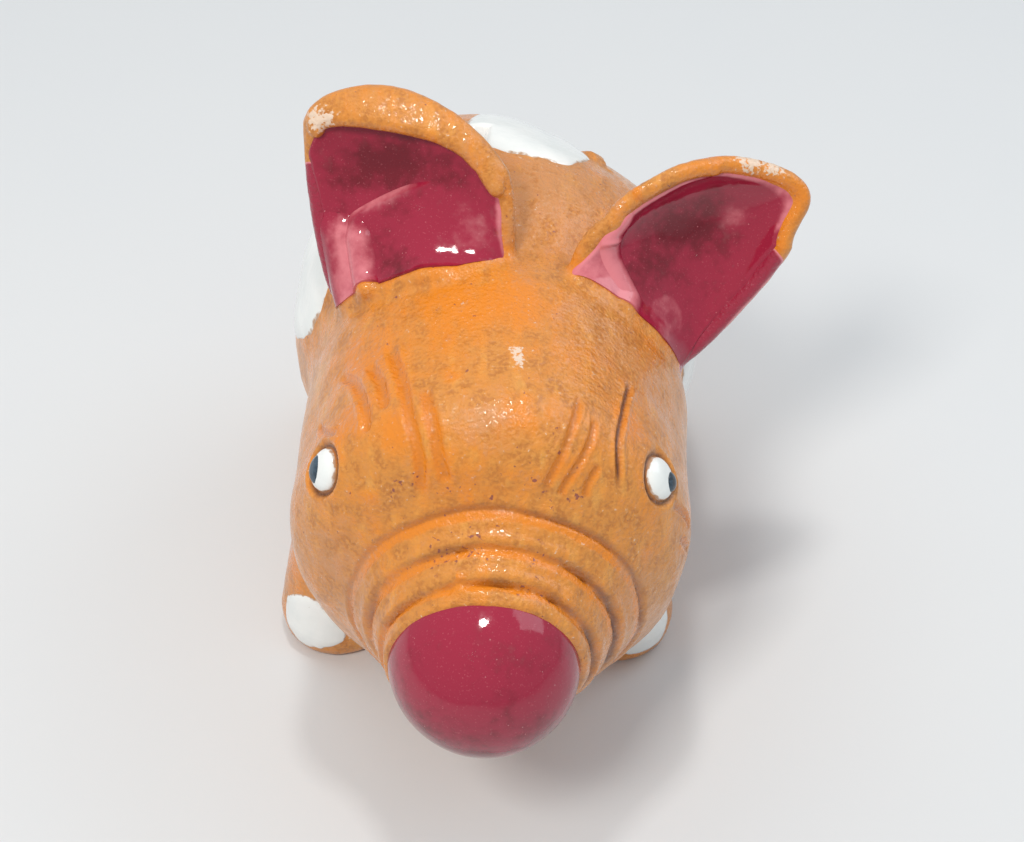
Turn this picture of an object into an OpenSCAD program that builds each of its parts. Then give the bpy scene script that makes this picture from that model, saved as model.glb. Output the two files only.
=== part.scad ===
// A hand-built earthenware piggy bank.
//
// The pig stands on the plane z = 0 and looks along -Y. Left and right are the pig's own.
// Two pinched bowls make the hollow belly. A rolled barrel and a rounded face make the hollow
// head. The snout, nose, ears, legs and tail are luted on, every joint face to face. The glazes
// are thin skins of their own. A rubber bung closes the belly, and only it moves.

/* [Belly] */
// Width of the belly
belly_width = 75; // [70:1:80]
// Length of the belly, without the head and the tail
belly_length = 82; // [79:1:88]
// Height of the middle of the belly above the table
belly_height = 50.5; // [49:0.5:53]
// Thickness of the clay wall
wall = 5; // [4:0.5:6]
// Where the two bowls of the belly meet, measured from the middle of the belly
seam_y = -12; // [-14:1:-11]

/* [Coin slot] */
// Length of the coin slot
slot_length = 28; // [24:1:30]
// Width of the coin slot
slot_width = 3.4; // [2.6:0.2:4]

/* [Bung] */
// Radius of the hole in the belly
bore_radius = 10; // [8:0.5:11]
// Radial clearance between the bung and the hole
bung_clearance = 0.05; // [0.02:0.01:0.1]

/* [Head] */
// Width of the head
head_width = 68.5; // [66:0.5:71]
// Distance of the flat of the face in front of the middle of the belly
face_forward = 71; // [69:0.5:73]
// Height of the axis of the head above the table
head_height = 52.5; // [51:0.5:54]
// Height of the axis of the snout above the table
snout_height = 50; // [48:0.5:51]
// Radius of the flat end of the snout, where the nose sits
snout_end_radius = 16; // [15:0.5:17]
// How far the nose swells out of the end of the snout
nose_depth = 14.5; // [10:0.5:15.5]

/* [Ears] */
// Thickness of the clay slab of an ear
ear_thickness = 3.2; // [2.4:0.2:4]
// Depth of the hollow of an ear
ear_cup = 5; // [3:0.5:6]

/* [Legs] */
// Radius of a foot where it is widest
foot_radius = 11; // [10:0.5:12]
// Sideways distance of a foot from the middle plane
foot_x = 27; // [26:0.5:28]
// Distance of a front foot in front of the middle of the belly
foot_front_y = 33; // [31:0.5:34]
// Distance of a rear foot behind the middle of the belly
foot_rear_y = 22; // [19:0.5:25]

/* [Glaze] */
// Thickness of a glaze skin
glaze = 0.8; // [0.5:0.1:1]

/* [Hidden] */

terracotta = [0.85, 0.53, 0.28];
maroon = [0.55, 0.17, 0.28];
white_glaze = [0.95, 0.95, 0.93];
slate = [0.15, 0.2, 0.26];
rubber_black = [0.12, 0.12, 0.13];

LEFT = 1;
RIGHT = -1;
// Longer than any piece, for cutters
far = 200;
round_sides = 160;

belly_radius = belly_width / 2;
// Half the length of the straight stretch between the belly's two round ends
belly_straight = (belly_length - belly_width) / 2;
belly_floor = belly_height - belly_radius;

// The head is a short barrel that lies along Y, rounded at the nape and at the face. The belly
// swallows its back end. The face joins the barrel where its rounding starts.
head_radius = head_width / 2;
head_x = 0.8;
head_back = 8;
head_length = face_forward - head_back;
nape_round = 24;
face_round = 15;
face_seam_y = face_round - face_forward;
head_wall = wall - 0.5;
// Passages for air between the belly, the head and the snout, so that nothing bursts in the kiln
neck_vent_radius = 5;
snout_vent_radius = 4;

// The snout is a stack of folds. Each is [distance in front of the middle of the belly, radius].
snout_root = face_forward - 6;
snout_folds = [[face_forward + 0.5, 24.5], [face_forward + 5.2, 20.8], [face_forward + 10, 18]];
snout_end = face_forward + 14;
snout_x = 0.4;
snout_wall = 5.5;
// A fold's lip drops a little as it runs forward. The groove ahead of it cuts in under the next
// fold, which rises again from the groove's floor.
lip_drop = 0.6;
lip_length = 1.4;
groove_depth = 0.6;
groove_floor = 0.4;
groove_rise = 1.2;

// The nose is the cap of a large ball, as deep as nose_depth. It laps over the end of the snout.
nose_lap = 0.3;
nose_radius = snout_end_radius + nose_lap;
nose_ball_radius = (nose_radius * nose_radius + nose_depth * nose_depth) / (2 * nose_depth);
nose_tip = snout_end + nose_depth;

slot_x = -3.5;
slot_y = -2;

// The bung's flange lies in a flat recess, flush with the belly
bung_y = 5;
flange_radius = bore_radius + 2.8;
recess_radius = flange_radius + 0.5;
recess_top = belly_floor + 3.2;
flange_thickness = 2.2;
collar_radius = bore_radius + 5;
collar_top = recess_top + 6.8;
bung_top = recess_top + 7.6;
bung_skirt = 3;
bung_floor = 1;
rib_height = 1.4;
rib_depth = 0.9;
rib_pitch = 2.6;

// Where an eye sits on the rounded edge of the face: the angle above the head's axis, and the
// angle from the side towards the face. The pupil looks outwards and back.
eye_rise = 33;
eye_turn = 20;
pupil_rise = 28;
pupil_turn = -6;
eye_radius = 5.4;
eye_sink = 3.6;
pupil_radius = 2.7;
pupil_sink = 2.2;

// Both front feet stand a little to the pig's right
front_drift = -3;
// Where a foot is widest, and how far a leg leans towards the belly on its way to the shoulder
foot_height = 5;
shoulder_height = 27;
shoulder_radius = 9;
leg_lean = 2;

// Directions from the middle of the belly to the white patches on the back and the flanks
back_way = [10, 20, 36];
flank_left_way = [38, -6, 2];
flank_right_way = [-38, -6, 14];
belly_patch_radius = 13;
foot_patch_way = [0.45, -0.9];
foot_patch_height = 8.5;
foot_patch_radius = 7;

tail_rings = 26;
tail_sides = 10;
tail_root_y = belly_length / 2 - 2;
tail_root_z = belly_height - 1;
tail_root_radius = 3.4;
tail_tip_radius = 1.5;
tail_curl_radius = 4.5;
tail_overhang = 6;
// Below 1, so that the tail leaves the belly quickly and then curls
tail_spring = 0.5;
// A short step along the tail, to find the direction in which it runs
tail_step = 0.01;
// A direction that the tail never runs in, to set its rings by
tail_upright = [0, 0.2, 1];

// The glaze leaves one step of the ear bare all round
ear_steps = 12;
ear_left_corners = [[14, -26, 82], [33, -27, 62], [25, -16, 95], [55, -14, 89]];
ear_right_corners = [[2, -24, 83], [-26, -23, 71], [3, -15, 97], [-32, -8, 102]];
ear_left_swell = 4;
ear_right_swell = 9;
ear_root_depth = 5;
ear_roll = 4;

function mix(a, b, t) = a + (b - a) * t;
function unit(v) = v / norm(v);

// The direction that the hollow of an ear faces
function ear_facing(c) =
    let (n = unit(cross(c[1] - c[0], (c[2] + c[3]) / 2 - (c[0] + c[1]) / 2)))
    n[1] < 0 ? n : -n;

// A point of an ear's middle surface. u runs from the root to the rim, v along the root.
// c holds the two ends of the root and the two ends of the rim.
function ear_point(c, swell, u, v) =
    let (root = mix(c[0], c[1], v))
    let (rim = mix(c[2], c[3], v) + [0, 0, swell * sin(180 * v)])
    let (rise = unit(rim - root))
    let (side = unit(c[1] - c[0]))
    mix(root - rise * ear_root_depth, rim, u)
        + side * (v - 0.5) * swell * sin(180 * u)
        - ear_facing(c) * (ear_cup * sin(180 * u) * sin(180 * v) - ear_roll * pow(u, 3));

// Grid points of an ear, without the margin's steps at its edges, moved towards its facing by lift
function ear_grid(c, swell, margin, lift) = [
    for (i = [margin : ear_steps - margin], j = [margin : ear_steps - margin])
        ear_point(c, swell, i / ear_steps, j / ear_steps) + ear_facing(c) * lift
];

// The furthest reach of the whole pig on each side, which puts the middle of its box on the origin
ear_reach = max([
    for (face = [-1, 1], p = ear_grid(ear_left_corners, ear_left_swell, 0, face * ear_thickness / 2))
        p[0]
]);
flank_reach = max(belly_radius + glaze, foot_x + foot_radius - front_drift);
shift_x = (flank_reach - ear_reach) / 2;
tail_reach = belly_length / 2 + tail_overhang;
shift_y = (nose_tip - tail_reach) / 2;

module pig_frame() {
    translate([shift_x, shift_y, 0])
        children();
}

// The belly's outer form, larger by grow all round
module belly_form(grow) {
    translate([0, belly_straight, belly_height])
        rotate([90, 0, 0])
            rotate_extrude($fn = round_sides)
                intersection() {
                    union() {
                        circle(belly_radius + grow, $fn = round_sides);
                        translate([0, 2 * belly_straight])
                            circle(belly_radius + grow, $fn = round_sides);
                        square([belly_radius + grow, 2 * belly_straight]);
                    }
                    translate([0, -far / 2])
                        square([far / 2, far]);
                }
}

// The head's outer form, larger by grow all round
module head_form(grow) {
    radius = head_radius + grow;
    translate([head_x, -head_back, head_height])
        rotate([90, 0, 0])
            rotate_extrude($fn = round_sides)
                intersection() {
                    union() {
                        translate([head_radius - nape_round, nape_round])
                            circle(nape_round + grow, $fn = round_sides);
                        translate([0, -grow])
                            square([head_radius - nape_round, nape_round]);
                        translate([0, nape_round])
                            square([radius, head_length - nape_round - face_round]);
                        translate([head_radius - face_round, head_length - face_round])
                            circle(face_round + grow, $fn = round_sides);
                        translate([0, nape_round])
                            square([head_radius - face_round, head_length + grow - nape_round]);
                    }
                    translate([0, -far / 2])
                        square([far / 2, far]);
                }
}

// Everything behind the plane at y, or ahead of it
module behind(y) {
    translate([-far / 2, y, -far / 2])
        cube([far, far, far]);
}

module ahead_of(y) {
    translate([-far / 2, y - far, -far / 2])
        cube([far, far, far]);
}

module slot_cutter() {
    translate([slot_x - slot_width / 2, slot_y - slot_length / 2, belly_height])
        cube([slot_width, slot_length, far]);
}

module body_front_bowl() {
    color(terracotta)
        pig_frame()
            difference() {
                intersection() {
                    belly_form(0);
                    ahead_of(seam_y);
                }
                belly_form(-wall);
                slot_cutter();
                translate([0, seam_y, head_height])
                    rotate([90, 0, 0])
                        cylinder(h = far, r = neck_vent_radius, $fn = round_sides);
            }
}

// The rear bowl holds the coin slot and the hole for the bung, whose edge is thickened inside
module body_rear_bowl() {
    color(terracotta)
        pig_frame()
            difference() {
                intersection() {
                    union() {
                        difference() {
                            belly_form(0);
                            belly_form(-wall);
                        }
                        intersection() {
                            belly_form(0);
                            translate([0, bung_y, 0])
                                cylinder(h = collar_top, r = collar_radius, $fn = round_sides);
                        }
                    }
                    behind(seam_y);
                }
                slot_cutter();
                translate([0, bung_y, 0])
                    cylinder(h = belly_height, r = bore_radius, $fn = round_sides);
                translate([0, bung_y, 0])
                    cylinder(h = recess_top, r = recess_radius, $fn = round_sides);
            }
}

module head_barrel() {
    color(terracotta)
        pig_frame()
            difference() {
                intersection() {
                    head_form(0);
                    behind(face_seam_y);
                }
                head_form(-head_wall);
                belly_form(0);
            }
}

module head_face() {
    color(terracotta)
        pig_frame()
            difference() {
                intersection() {
                    head_form(0);
                    ahead_of(face_seam_y);
                }
                head_form(-head_wall);
                translate([snout_x, -snout_root, snout_height])
                    rotate([90, 0, 0])
                        cylinder(h = far, r = snout_vent_radius, $fn = round_sides);
            }
}

// Half the outline of the snout. The radius is across, the distance from its root is up.
function snout_outline() = concat(
    [[0, 0], [snout_folds[0][1] + lip_length, 0]],
    [
        for (i = [0 : len(snout_folds) - 1])
            let (fold = snout_folds[i])
            let (ahead = fold[0] - snout_root)
            let (next = i + 1 < len(snout_folds) ? snout_folds[i + 1][1] : snout_end_radius)
            for (p = [
                [fold[1], ahead],
                [fold[1] - lip_drop, ahead + lip_length],
                [next - groove_depth, ahead + lip_length + groove_floor],
                [next, ahead + lip_length + groove_floor + groove_rise]
            ]) p
    ],
    [[snout_end_radius, snout_end - snout_root], [0, snout_end - snout_root]]
);

module snout() {
    color(terracotta)
        pig_frame()
            difference() {
                translate([snout_x, -snout_root, snout_height])
                    rotate([90, 0, 0])
                        rotate_extrude($fn = round_sides)
                            polygon(snout_outline());
                head_form(0);
                translate([snout_x, -snout_root, snout_height])
                    rotate([90, 0, 0])
                        cylinder(
                            h = snout_end - snout_wall - snout_root,
                            r = snout_end_radius - snout_wall,
                            $fn = round_sides
                        );
            }
}

module nose_pad() {
    color(maroon)
        pig_frame()
            intersection() {
                translate([snout_x, nose_ball_radius - nose_tip, snout_height])
                    sphere(nose_ball_radius, $fn = round_sides);
                translate([snout_x, -snout_end, snout_height])
                    rotate([90, 0, 0])
                        cylinder(h = 2 * nose_depth, r = 2 * nose_radius, $fn = round_sides);
            }
}

// A closed solid between two grids of points, each with n points each way
module slab_between(back, front, n) {
    count = n * n;
    quads = [
        for (i = [0 : n - 2], j = [0 : n - 2])
            let (a = i * n + j)
            [a, a + 1, a + n + 1, a + n]
    ];
    border = concat(
        [for (j = [0 : n - 2]) [j, j + 1]],
        [for (i = [0 : n - 2]) [i * n + n - 1, (i + 1) * n + n - 1]],
        [for (j = [n - 1 : -1 : 1]) [(n - 1) * n + j, (n - 1) * n + j - 1]],
        [for (i = [n - 1 : -1 : 1]) [i * n, (i - 1) * n]]
    );
    back_faces = [for (q = quads) each [[q[0], q[1], q[2]], [q[0], q[2], q[3]]]];
    front_faces = [
        for (q = quads) each [
            [q[0] + count, q[2] + count, q[1] + count],
            [q[0] + count, q[3] + count, q[2] + count]
        ]
    ];
    side_faces = [
        for (b = border) each [
            [b[1], b[0], b[0] + count],
            [b[1], b[0] + count, b[1] + count]
        ]
    ];
    polyhedron(concat(back, front), concat(back_faces, front_faces, side_faces));
}

module mirrored_if(flip) {
    if (flip)
        mirror([1, 0, 0])
            children();
    else
        children();
}

// An ear's corners as a mirror image, so that both ears' faces wind the same way
function mirrored(c) = [for (p = c) [-p[0], p[1], p[2]]];

module ear(side, corners, swell) {
    flip = side == RIGHT;
    c = flip ? mirrored(corners) : corners;
    color(terracotta)
        pig_frame()
            difference() {
                mirrored_if(flip)
                    slab_between(
                        ear_grid(c, swell, 0, -ear_thickness / 2),
                        ear_grid(c, swell, 0, ear_thickness / 2),
                        ear_steps + 1
                    );
                head_form(0);
                belly_form(0);
            }
}

module ear_glaze(side, corners, swell) {
    flip = side == RIGHT;
    c = flip ? mirrored(corners) : corners;
    color(maroon)
        pig_frame()
            difference() {
                mirrored_if(flip)
                    slab_between(
                        ear_grid(c, swell, 1, ear_thickness / 2),
                        ear_grid(c, swell, 1, ear_thickness / 2 + glaze),
                        ear_steps - 1
                    );
                head_form(0);
                belly_form(0);
            }
}

module ear_left() { ear(LEFT, ear_left_corners, ear_left_swell); }
module ear_right() { ear(RIGHT, ear_right_corners, ear_right_swell); }
module ear_left_glaze() { ear_glaze(LEFT, ear_left_corners, ear_left_swell); }
module ear_right_glaze() { ear_glaze(RIGHT, ear_right_corners, ear_right_swell); }

// The outward direction at a place on the rounded edge of the face, and the place itself
function face_way(side, rise, turn) =
    [side * cos(rise) * cos(turn), -sin(turn), sin(rise) * cos(turn)];
function face_place(side, rise, turn) =
    let (inner = head_radius - face_round)
    [head_x + side * inner * cos(rise), face_round - face_forward, head_height + inner * sin(rise)]
        + face_round * face_way(side, rise, turn);
function eye_centre(side) =
    face_place(side, eye_rise, eye_turn) - face_way(side, eye_rise, eye_turn) * eye_sink;
function pupil_centre(side) =
    eye_centre(side) + face_way(side, pupil_rise, pupil_turn) * (eye_radius - pupil_sink);

module eye(side) {
    color(white_glaze)
        pig_frame()
            difference() {
                translate(eye_centre(side))
                    sphere(eye_radius, $fn = round_sides);
                head_form(0);
            }
}

module pupil(side) {
    color(slate)
        pig_frame()
            difference() {
                translate(pupil_centre(side))
                    sphere(pupil_radius, $fn = round_sides);
                translate(eye_centre(side))
                    sphere(eye_radius, $fn = round_sides);
                head_form(0);
            }
}

module eye_left() { eye(LEFT); }
module eye_right() { eye(RIGHT); }
module pupil_left() { pupil(LEFT); }
module pupil_right() { pupil(RIGHT); }

// The outer form of a leg, larger by grow all round. A round shoulder stands above a round foot
// and leans towards the belly.
module leg_form(x, y, grow) {
    lean = [-sign(x) * leg_lean, -sign(y) * leg_lean, shoulder_height - foot_height];
    intersection() {
        translate([x, y, foot_height])
            rotate([0, acos(lean[2] / norm(lean)), atan2(lean[1], lean[0])])
                rotate_extrude($fn = round_sides)
                    leg_outline(foot_radius + grow, shoulder_radius + grow, norm(lean));
        translate([-far / 2, -far / 2, 0])
            cube(far);
    }
}

module leg_outline(foot, shoulder, length) {
    intersection() {
        union() {
            circle(foot, $fn = round_sides);
            polygon([[0, 0], [foot, 0], [shoulder, length], [0, length]]);
            translate([0, length])
                circle(shoulder, $fn = round_sides);
        }
        translate([0, -far / 2])
            square(far);
    }
}

module leg(x, y) {
    color(terracotta)
        pig_frame()
            difference() {
                leg_form(x, y, 0);
                belly_form(0);
                head_form(0);
            }
}

function front_foot_x(side) = side * foot_x + front_drift;

module leg_front_left() { leg(front_foot_x(LEFT), -foot_front_y); }
module leg_front_right() { leg(front_foot_x(RIGHT), -foot_front_y); }
module leg_rear_left() { leg(foot_x, foot_rear_y); }
module leg_rear_right() { leg(-foot_x, foot_rear_y); }

// The tail leaves the belly backwards and makes one turn of a curl. t runs from 0 to 1.
function tail_point(t) = [
    tail_curl_radius * sin(360 * t),
    mix(tail_root_y, tail_reach - tail_tip_radius, pow(t, tail_spring)),
    tail_root_z + tail_curl_radius * (1 - cos(360 * t))
];
function tail_radius(t) = mix(tail_root_radius, tail_tip_radius, t);

module tail() {
    rings = [
        for (i = [0 : tail_rings])
            let (t = i / tail_rings)
            let (ahead = unit(tail_point(t + tail_step) - tail_point(t)))
            let (across = unit(cross(ahead, tail_upright)))
            let (up = cross(across, ahead))
            [
                for (k = [0 : tail_sides - 1])
                    tail_point(t) + tail_radius(t)
                        * (across * cos(360 * k / tail_sides) + up * sin(360 * k / tail_sides))
            ]
    ];
    points = [for (ring = rings) each ring];
    sides = [
        for (i = [0 : tail_rings - 1], k = [0 : tail_sides - 1])
            let (a = i * tail_sides + k)
            let (b = i * tail_sides + (k + 1) % tail_sides)
            each [[a, a + tail_sides, b], [b, a + tail_sides, b + tail_sides]]
    ];
    first_end = [for (k = [0 : tail_sides - 1]) k];
    last_end = [for (k = [tail_sides - 1 : -1 : 0]) tail_rings * tail_sides + k];
    color(terracotta)
        pig_frame()
            difference() {
                polyhedron(points, concat(sides, [first_end, last_end]));
                belly_form(0);
            }
}

// A round patch of glaze on the belly. The patch is the skin inside a rod that points along way.
module belly_patch(way) {
    turn = [0, acos(way[2] / norm(way)), atan2(way[1], way[0])];
    color(white_glaze)
        pig_frame()
            difference() {
                intersection() {
                    belly_form(glaze);
                    translate([0, 0, belly_height])
                        rotate(turn)
                            cylinder(h = far, r = belly_patch_radius, $fn = round_sides);
                }
                belly_form(0);
                slot_cutter();
            }
}

module back_glaze() { belly_patch(back_way); }
module flank_left_glaze() { belly_patch(flank_left_way); }
module flank_right_glaze() { belly_patch(flank_right_way); }

// A patch of glaze on the outer front of a front foot, clear of the table
module foot_patch(side) {
    color(white_glaze)
        pig_frame()
            difference() {
                intersection() {
                    leg_form(front_foot_x(side), -foot_front_y, glaze);
                    translate([
                        front_foot_x(side) + side * foot_patch_way[0] * foot_radius,
                        -foot_front_y + foot_patch_way[1] * foot_radius,
                        foot_patch_height
                    ])
                        sphere(foot_patch_radius, $fn = round_sides);
                }
                leg_form(front_foot_x(side), -foot_front_y, 0);
            }
}

module foot_left_glaze() { foot_patch(LEFT); }
module foot_right_glaze() { foot_patch(RIGHT); }

// Half the outline of the bung, from its flange past its two ribs up to its open top
function bung_outline() =
    let (r = bore_radius - bung_clearance)
    let (neck = r - rib_depth)
    let (low = recess_top - bung_clearance)
    let (inside = low + bung_floor)
    let (second = inside + rib_pitch)
    [
        [0, low - flange_thickness], [flange_radius, low - flange_thickness],
        [flange_radius, low], [neck, low],
        [neck, inside], [r, inside], [r, inside + rib_height], [neck, inside + rib_height],
        [neck, second], [r, second], [r, second + rib_height],
        [neck, bung_top], [neck - bung_skirt, bung_top],
        [neck - bung_skirt, inside], [0, inside]
    ];

module belly_stopper() {
    color(rubber_black)
        pig_frame()
            translate([0, bung_y, 0])
                rotate_extrude($fn = round_sides)
                    polygon(bung_outline());
}

body_front_bowl();
body_rear_bowl();
head_barrel();
head_face();
snout();
nose_pad();
ear_left();
ear_right();
ear_left_glaze();
ear_right_glaze();
eye_left();
eye_right();
pupil_left();
pupil_right();
leg_front_left();
leg_front_right();
leg_rear_left();
leg_rear_right();
tail();
back_glaze();
flank_left_glaze();
flank_right_glaze();
foot_left_glaze();
foot_right_glaze();
belly_stopper();
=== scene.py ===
"""The looks of a hand-built earthenware piggy bank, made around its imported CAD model.

All the clay is one field of distances: belly, head, folded snout, legs, tail and ears, blended as
wet clay is, with every groove and finger mark carved into it. The field becomes one solid, which
is cut along the potter's joints into one closed piece for each CAD node. The glazes, the nose and
the eyes are closed skins on top of it.

Lengths are millimetres in the pig's own frame until a mesh is made. The pig stands on z = 0 below
the middle of its belly and looks along -Y. Left and right are the pig's own.
"""
import math

import bpy
import numpy as np
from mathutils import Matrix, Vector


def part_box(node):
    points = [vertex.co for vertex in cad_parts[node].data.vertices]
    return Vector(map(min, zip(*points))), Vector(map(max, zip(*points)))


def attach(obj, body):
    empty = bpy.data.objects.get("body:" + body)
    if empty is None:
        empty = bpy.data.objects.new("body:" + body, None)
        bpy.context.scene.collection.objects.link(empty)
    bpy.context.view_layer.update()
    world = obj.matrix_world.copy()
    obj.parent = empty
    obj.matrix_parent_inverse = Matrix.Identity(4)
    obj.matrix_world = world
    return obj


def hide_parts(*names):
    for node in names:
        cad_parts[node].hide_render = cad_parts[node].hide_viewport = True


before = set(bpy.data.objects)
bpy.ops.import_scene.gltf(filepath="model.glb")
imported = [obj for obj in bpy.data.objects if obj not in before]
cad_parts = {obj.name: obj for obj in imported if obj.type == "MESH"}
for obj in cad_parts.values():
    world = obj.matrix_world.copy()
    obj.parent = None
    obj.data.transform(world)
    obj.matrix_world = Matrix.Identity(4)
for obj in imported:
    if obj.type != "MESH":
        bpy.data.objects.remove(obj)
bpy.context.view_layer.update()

import openvdb
from mathutils import Matrix, Vector
from mathutils.bvhtree import BVHTree

MM = 0.001
FINE = 0.42
VOXEL = FINE


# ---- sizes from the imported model

def row_box(node):
    """A CAD node's lowest and highest corner, in millimetres in the row frame."""
    low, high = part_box(node)
    return np.array(low) / MM, np.array(high) / MM


def belly_middle():
    front_low, _ = row_box("body_front_bowl")
    rear_low, rear_high = row_box("body_rear_bowl")
    return np.array([(rear_low[0] + rear_high[0]) / 2, (front_low[1] + rear_high[1]) / 2, 0])


ORIGIN = belly_middle()


def box(node):
    """A CAD node's lowest and highest corner, in millimetres in the pig's own frame."""
    low, high = row_box(node)
    return low - ORIGIN, high - ORIGIN


REAR_LOW, REAR_HIGH = box("body_rear_bowl")
BELLY_RADIUS = (REAR_HIGH[0] - REAR_LOW[0]) / 2
BELLY_HALF = REAR_HIGH[1] - BELLY_RADIUS
BELLY_Z = REAR_HIGH[2] - BELLY_RADIUS
SEAM_Y = REAR_LOW[1]
WALL = 5

FACE_LOW, FACE_HIGH = box("head_face")
HEAD_RADIUS = (FACE_HIGH[0] - FACE_LOW[0]) / 2
HEAD_X, _, HEAD_Z = (FACE_LOW + FACE_HIGH) / 2
FACE_Y = FACE_LOW[1]
FACE_SEAM_Y = FACE_HIGH[1]
FACE_ROUND = FACE_SEAM_Y - FACE_Y
NAPE_Y = -8
NAPE_ROUND = 24

SNOUT_LOW, SNOUT_HIGH = box("snout")
SNOUT_X, _, SNOUT_Z = (SNOUT_LOW + SNOUT_HIGH) / 2
SNOUT_END_Y = SNOUT_LOW[1]
NOSE_LOW, NOSE_HIGH = box("nose_pad")
NOSE_RADIUS = (NOSE_HIGH[0] - NOSE_LOW[0]) / 2

# The bung's hole and the coin slot lie where the CAD has them
BUNG_LOW, BUNG_HIGH = box("belly_stopper")
BUNG_X, BUNG_Y, _ = (BUNG_LOW + BUNG_HIGH) / 2
RECESS_RADIUS = (BUNG_HIGH[0] - BUNG_LOW[0]) / 2 + 0.5
RECESS_TOP = BUNG_HIGH[2] - 7.6
BORE_RADIUS = RECESS_RADIUS - 3.3
SLOT_MIDDLE = np.array([-3.5, -2, REAR_HIGH[2]])
SLOT_HALF = np.array([1.7, 14, 10])


# ---- fields of distances

LATTICE = np.random.default_rng(11).uniform(-1, 1, (64, 64, 64)).astype(np.float32)


def noise(points, scale, seed=0):
    """Smooth noise from -1 to 1 that changes over about scale millimetres."""
    places = points / scale + seed * np.array([7.31, 11.97, 5.73])
    cell = np.floor(places).astype(np.int64)
    t = places - cell
    t = t * t * (3 - 2 * t)
    low, high = cell & 63, (cell + 1) & 63
    total = 0
    for corner in range(8):
        sides = [(corner >> axis) & 1 for axis in range(3)]
        index = [(high if side else low)[..., axis] for axis, side in enumerate(sides)]
        weight = 1
        for axis, side in enumerate(sides):
            weight = weight * (t[..., axis] if side else 1 - t[..., axis])
        total = total + weight * LATTICE[tuple(index)]
    return total


def smooth_step(low, high, x):
    t = np.clip((x - low) / (high - low), 0, 1)
    return t * t * (3 - 2 * t)


def band(x, start, full, fade, end):
    """1 where x is between full and fade, and 0 before start and after end."""
    return smooth_step(start, full, x) * (1 - smooth_step(fade, end, x))


def unit(ways):
    return ways / np.linalg.norm(ways, axis=-1, keepdims=True)


def smooth_min(a, b, reach):
    h = np.clip(0.5 + 0.5 * (b - a) / reach, 0, 1)
    return b + (a - b) * h - reach * h * (1 - h)


def smooth_max(a, b, reach):
    return -smooth_min(-a, -b, reach)


def in_box(p, low, high):
    """The indexes of the points that lie in a box."""
    return np.flatnonzero(np.all((p > low) & (p < high), axis=1))


def near_places(p, places, reach):
    """The indexes of the points in the box round some places, grown by reach."""
    return in_box(p, places.min(0) - reach, places.max(0) + reach)


def at_least(values, indexes, new):
    """Raises the values at the indexes to the new ones, where those are higher."""
    values[indexes] = np.maximum(values[indexes], new)


# The potter's hand pressed the belly in behind the pig's left ear
DENT_MIDDLE, DENT_REACH, DENT_DEPTH = np.array([16, 27, 73]), np.array([18, 24, 24]), 4.5


def dent(p):
    return DENT_DEPTH * np.exp(-(((p - DENT_MIDDLE) / DENT_REACH) ** 2).sum(axis=1))


def belly_core(p):
    """The nearest places on the line through the middle of the belly."""
    return np.clip(p, [0, -BELLY_HALF, BELLY_Z], [0, BELLY_HALF, BELLY_Z])


def belly_field(p):
    return np.linalg.norm(p - belly_core(p), axis=1) - BELLY_RADIUS + dent(p)


def head_field(p):
    """A barrel along Y, rounded at the nape and round the face."""
    across = np.hypot(p[:, 0] - HEAD_X, p[:, 2] - HEAD_Z)
    in_front = p[:, 1] < (NAPE_Y + FACE_Y) / 2
    rounding = np.where(in_front, FACE_ROUND, NAPE_ROUND)
    along = np.where(in_front, FACE_SEAM_Y - p[:, 1], p[:, 1] - NAPE_Y + NAPE_ROUND)
    out = across - HEAD_RADIUS + rounding
    outside = np.hypot(np.maximum(out, 0), np.maximum(along, 0))
    return outside + np.minimum(np.maximum(out, along), 0) - rounding


# The snout's folds: where each starts at a crack and ends, as distances ahead of the face, how far
# it drops at the crack, and how deep the crack is cut. They lie on a cone that narrows in steps.
FOLDS = [(0.5, 5.6, 0.3, 0.45), (5.6, 10.6, 0.5, 0.85), (10.6, 14.6, 0.5, 0.9)]
CONE_AHEAD, CONE_RADIUS = [-6, 0.5, 5.6, 10.6, 14, 20], [29, 24.9, 21, 18, 16.4, 15]
CONE_COS = 0.8
# The snout starts a little to the pig's left and drifts to its right as it runs forward
SNOUT_SHIFT, SNOUT_DRIFT = 1.9, 0.1


def snout_places(p):
    """Distances from the snout's axis and ahead of the face, on uneven folds, and places on a ring."""
    ahead = FACE_Y - p[:, 1]
    x, z = p[:, 0] - SNOUT_X - SNOUT_SHIFT + SNOUT_DRIFT * ahead, p[:, 2] - SNOUT_Z
    radius = np.hypot(x, z) + 1e-6
    ring = np.stack([x / radius * 6, ahead * 0.5, z / radius * 6], axis=1)
    uneven = 0.6 * noise(ring, 3.5, 4) + 0.25 * noise(ring, 1.2, 5)
    return radius + 0.45 * noise(ring, 4, 3), ahead + uneven, ring


def crack_openings(ring):
    """How far the cracks stand open round the snout. They gape on the pig's left."""
    return np.clip(0.7 + 0.9 * noise(ring, 2.4, 9) + 0.06 * ring[:, 0], 0.2, 1.5)


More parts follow.
